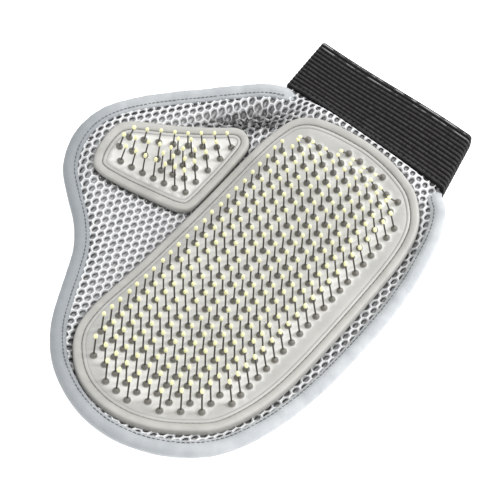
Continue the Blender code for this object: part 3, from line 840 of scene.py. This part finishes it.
def field_grid(ring, inner, pegs):
    """Points between the collars, clear of them and of the rim."""
    low, high = ring[:, :2].min(0), ring[:, :2].max(0)
    across, along = (np.arange(low[k], high[k], FIELD_MESH) for k in (0, 1))
    grid = np.array([(x, y) for x in across for y in along])
    x, y = grid.T
    near = np.min(np.hypot(x[:, None] - pegs[:, 0], y[:, None] - pegs[:, 1]), axis=1)
    return grid[inside(x, y, inner) & (distance_to(x, y, inner, True)[0] > 1.0) & (near > 2.6)]


def pegs_about(flat, pegs):
    """Distance from each point to the nearest pin, and how crowded the pins are there."""
    x, y = flat.T
    near, crowd = np.full(len(flat), 1e9), np.zeros(len(flat))
    batch = 3000
    for start in range(0, len(flat), batch):
        some = slice(start, start + batch)
        away = np.hypot(x[some, None] - pegs[:, 0], y[some, None] - pegs[:, 1])
        near[some], crowd[some] = away.min(axis=1), np.exp(-(away / 5) ** 2).sum(axis=1)
    return near, crowd


def make_pad(name, ring, pins, body, nodes, dense, base):
    """base is the share on plain rubber of the paler tone, which is painted light among the pins, and dense
    how slowly it grows with crowding.
    """
    ring, _ = even(ring, 1.3, closed=True)
    count = len(ring)
    wall, wall_faces = pad_wall(ring)
    inner = inset(ring, RIM[-1][0])[:, :2]
    pegs = np.vstack(pins)
    turns = 2 * math.pi * np.arange(BOSS_SIDES) / BOSS_SIDES
    collars = [pegs + r * np.array((math.cos(a), math.sin(a))) for r, _ in BOSS for a in turns] + [pegs]
    grid = field_grid(ring, inner, pegs)
    flat, faces = fill(inner, np.vstack([*collars, grid]))
    near, crowd = pegs_about(flat, pegs)
    radii = np.array([0.0] + [r for r, _ in BOSS[::-1]])
    heights = np.array([BOSS_TOP] + [h for _, h in BOSS[::-1]])
    up = np.interp(near, radii, heights, right=0.0)
    top = np.column_stack([flat, up])
    foot_inset, foot_height = RIM[0]
    foot, foot_faces = fill(inset(ring, foot_inset)[:, :2], grid[::9])
    foot = np.column_stack([foot, np.full(len(foot), foot_height)])
    points, every = join([(wall, wall_faces), (top, faces), (foot, foot_faces)])

    def on_top(values):
        return np.concatenate([np.zeros(len(wall)), values, np.zeros(len(foot))])

    inset_of = np.concatenate([np.repeat([d for d, _ in RIM], count), np.full(len(top), 9.0),
                               np.zeros(len(foot))])
    rim = 1 - smooth((inset_of - 3.7) / 0.5)
    # painted shade in the rim's grooves, strongest in the outer one
    groove = (0.8 * np.exp(-((inset_of - GROOVE) / 0.16) ** 2)
              + 0.4 * np.exp(-((inset_of - INNER_GROOVE) / 0.12) ** 2))
    # painted shade on the collars
    painted_boss_shade = on_top(smooth(up / 0.5))
    # painted light among the pins, offsetting their shade; base is its share on plain rubber
    painted_pin_light = on_top(base + (1 - base) * smooth((crowd - 0.95) / dense))
    key = np.round(points * PAD_KEYS_PER_MM).astype(np.int64)
    _, first, index = np.unique(key, axis=0, return_index=True, return_inverse=True)
    index = index.reshape(-1)
    every = [tuple(dict.fromkeys(index[v] for v in f)) for f in every]
    every = [f for f in every if len(f) > 2]
    made = piece(name, on_dish(points[first]), every, [RUBBER],
                 {"rim": rim[first], "painted_boss_shade": painted_boss_shade[first], "groove": groove[first], "painted_pin_light": painted_pin_light[first]},
                 angle=75)
    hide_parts(*nodes)
    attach(made, body)


def lean_of(x, y, body):
    """How far a pin's tip stands from square above its foot. The rubber's curl leans them row by row."""
    if body == "thumb":
        u, v, w = (x + 80) / 25, (y - 30) / 20, (y - 8.4 - 0.3 * (x + 94.4)) / 28
        return -1.7 + 0.4 * v - 1.2 * u + 0.9 * w, 1.7 - 1.1 * v + 1.4 * u - 1.7 * w
    u, wrist, tips = x / 36.3, smooth((y - 62) / 12), smooth((-y - 60) / 30)
    curl = math.exp(-(max(88.1 - 0.0068 * x * x - y, 0) / 7) ** 2)
    return 0.3 + 0.9 * u - 2.5 * u ** 3 + 0.4 * wrist, 0.1 - 5.4 * curl - 0.9 * tips


def make_pins(name, pins, body, node):
    """A row of wires with moulded tips."""
    parts, marks = [], []
    for peg in pins:
        lean = np.array(lean_of(*peg, body)) + RNG.normal(0, 0.22, 2)
        for profile, sides, mark in ((WIRE_PROFILE, 8, 0), (TIP_PROFILE, 10, 1)):
            points = []
            for h, r in profile:
                middle = peg + lean * (h / TIP_HEIGHT)
                for k in range(sides):
                    a = 2 * math.pi * k / sides
                    points.append((middle[0] + r * math.cos(a), middle[1] + r * math.sin(a), h))
            faces = tube_faces(len(profile), sides, False, True)
            parts.append((np.array(points), faces))
            marks += [mark] * len(faces)
    points, faces = join(parts)
    made = piece(name, on_dish(points), faces, [WIRE, TIP], face_material=marks)
    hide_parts(node)
    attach(made, body)


def make_pad_stitches(name, ring, body, node):
    line = inset(ring, GROOVE)
    flat = np.column_stack([line[:, :2], np.full(len(line), -0.34)])
    points, faces = stitches(flat, 2.8, 2.2, 0.16, 0.0, closed=True)
    made = piece(name, on_dish(points), faces, [PAD_THREAD])
    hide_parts(node)
    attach(made, body)


# ---------------------------------------------------------------- cuff

def cuff_outline():
    """The cuff's section, round the band: the side it is on, and the share of the way along that side."""
    across, bend = 40, 5
    outline = [("top", k / (across - 1)) for k in range(across)]
    for k in range(1, bend + 1):
        outline.append(("left", k / (bend + 1)))
    outline += [("bottom", k / (across - 1)) for k in range(across)]
    for k in range(1, bend + 1):
        outline.append(("right", k / (bend + 1)))
    return outline


def cuff_ring(t, out):
    """One ring of the band at a share t of its length, moved out by out."""
    radius, low = 2.6, CUFF_TOP - CUFF_HEIGHT
    left, right, y = (a + (b - a) * t for a, b in zip(CUFF_SEAM, CUFF_MOUTH))
    middle, half = CUFF_TOP - CUFF_HEIGHT / 2, CUFF_HEIGHT / 2
    points = []
    for side, s in cuff_outline():
        if side == "top":
            x, z = right - radius + (left - right + 2 * radius) * s, CUFF_TOP + out
        elif side == "bottom":
            x, z = left + radius + (right - left - 2 * radius) * s, low - out
        else:
            sign = -1 if side == "left" else 1
            a = math.pi / 2 - math.pi * s  # from the top round to the bottom on the left, and back up
            a = a if side == "left" else -a
            c, u = abs(math.cos(a)) ** 0.7, math.copysign(abs(math.sin(a)) ** 0.7, math.sin(a))
            x = (left + radius if side == "left" else right - radius) + sign * (radius + out) * c
            z = middle + (half + out) * u
        points.append((x, y, z))
    return points


def cuff_swell(x):
    """How far the band stands up at its seam: 1 in the middle, falling to 0 and below at its two sides."""
    return 1 - ((x + 10) / 48) ** 4


def make_cuff():
    ribs = 14
    profile = [(0.0, 1.0), (0.2, 0.95), (0.34, 0.25), (0.55, 0.0), (0.76, 0.2), (0.9, 0.95)]  # share, depth
    crest_share, rib_depth = 0.55, 0.75
    # the streaks are pale threads of the elastic with a painted highlight on them
    streaks = {ribs - 2: 0.6, ribs - 1: 1.0}  # how bright the light streaks on the ribs by the mouth are
    loops, crest, shine = [], [], []
    for i in range(ribs):
        for share, deep in profile:
            loops.append(cuff_ring((i + share) / ribs, -rib_depth * deep))
            crest.append(1 - deep)
            shine.append(streaks.get(i, 0.0) if share == crest_share else 0.0)
    loops.append(cuff_ring(1.0, -0.4))
    for t in (1.0, 0.985, 0.0):
        loops.append(cuff_ring(t, -CUFF_WALL))
    # the mouth's edge and the band's inside are mostly painted shade
    crest += [0.2] * 4
    shine += [0.0] * 4
    sides = len(loops[0])
    points = np.array(loops).reshape(-1, 3)
    x, y = points[:, 0], points[:, 1]
    free = smooth((y - 106) / 20)
    points[:, 2] += 0.3 * np.sin(x * 0.06 + 0.5) * free
    points[:, 1] += 0.5 * np.sin(x * 0.05 + 1.0) * free
    raised = (1 - smooth((y - 103) / 13)) * smooth((points[:, 2] - CUFF_TOP + CUFF_HEIGHT / 2) / 4)
    points[:, 2] += 1.3 * raised * np.clip(cuff_swell(x), 0, 1)
    faces = tube_faces(len(loops), sides, True, False)
    made = piece("cuff_elastic", points, faces, [ELASTIC],
                 {"crest": np.repeat(crest, sides), "shine": np.repeat(shine, sides)}, angle=80)
    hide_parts("cuff_elastic_band")
    fold_at_wrist(made)
    left, right, y = CUFF_SEAM
    line = np.array([(x, y + 2.3, CUFF_TOP - 0.35 + 1.2 * max(cuff_swell(x), 0))
                     for x in np.linspace(left + 4, right - 4, 60)])
    points, faces = stitches(line, 3.0, 2.1, 0.25, 0.1)
    thread = piece("cuff_stitches", points, faces, [CUFF_THREAD])
    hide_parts("cuff_stitching")
    fold_at_wrist(thread)


# ---------------------------------------------------------------- stage: floor, light and camera

def make_stage():
    bpy.ops.mesh.primitive_plane_add(size=6)
    floor = bpy.context.object
    floor.name = "floor"
    floor.location = (0, 0, -0.0002)
    made, _, shader = shader_of("floor_white", (0.92, 0.92, 0.92), 0.9)
    shader.inputs["Emission Color"].default_value = (1, 1, 1, 1)
    shader.inputs["Emission Strength"].default_value = 0.5
    floor.data.materials.append(made)
    scene = bpy.context.scene
    scene.view_settings.view_transform = "Standard"
    scene.world = bpy.data.worlds.new("studio")
    scene.world.use_nodes = True
    back = scene.world.node_tree.nodes["Background"]
    back.inputs["Color"].default_value = (1, 1, 1, 1)
    back.inputs["Strength"].default_value = 1.05
    for name, spot, size, power in (("key", (0.6, 0.7, 0.75), 0.35, 11),
                                    ("fill", (0.6, -0.6, 1.0), 0.8, 1.0)):
        lamp = bpy.data.lights.new(name, "AREA")
        lamp.size = size
        lamp.energy = power
        obj = bpy.data.objects.new(name, lamp)
        obj.location = spot
        obj.rotation_euler = (Vector((0, 0, 0.02)) - Vector(spot)).to_track_quat("-Z", "Y").to_euler()
        scene.collection.objects.link(obj)


def make_camera():
    """Where the photograph's camera was, from a fit to the pins, the pads' outlines and the edge."""
    azimuth, elevation, roll = (math.radians(a) for a in (38.6, 61.2, 1.9))
    distance = 534.4
    forward = np.array((-math.sin(azimuth), math.cos(azimuth), 0.0))
    right = np.array((math.cos(azimuth), math.sin(azimuth), 0.0))
    to_camera = -forward * math.cos(elevation) + np.array((0, 0, math.sin(elevation)))
    up = np.cross(to_camera, right)
    right, up = (math.cos(roll) * right + math.sin(roll) * up,
                 -math.sin(roll) * right + math.cos(roll) * up)
    data = bpy.data.cameras.new("camera")
    data.sensor_width = 36.0
    data.lens = 78.48
    data.shift_y = 0.0692
    data.clip_start, data.clip_end = 0.01, 20
    camera = bpy.data.objects.new("camera", data)
    turn = Matrix((right, up, to_camera)).transposed().to_4x4()
    camera.matrix_world = Matrix.Translation(Vector((distance * to_camera - ORIGIN) * MM)) @ turn
    bpy.context.scene.collection.objects.link(camera)
    bpy.context.scene.camera = camera


make_camera()
make_stage()
make_cloth()
make_tape()
make_binding_stitches()
make_pad("main_pad", MAIN_RING, MAIN_PINS, "hand", ["main_pad_rubber"], 0.95, 0.0)
make_pad("thumb_pad", THUMB_RING, THUMB_PINS, "thumb", ["thumb_pad_rubber"], 1.15, 0.75)
make_pad_stitches("main_pad_stitches", MAIN_RING, "hand", "main_pad_stitching")
make_pad_stitches("thumb_pad_stitches", THUMB_RING, "thumb", "thumb_pad_stitching")
for number, row in enumerate(MAIN_PINS, 1):
    make_pins(f"main_pins_{number:02d}", row, "hand", f"main_pin_row_{number:02d}")
for number, row in enumerate(THUMB_PINS, 1):
    make_pins(f"thumb_pins_{number:02d}", row, "thumb", f"thumb_pin_row_{number:02d}")
make_cuff()
for node in ("main_pad_backing", "thumb_pad_backing"):  # the two CAD pieces that are shown as they are
    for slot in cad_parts[node].material_slots:
        slot.material = BACKING
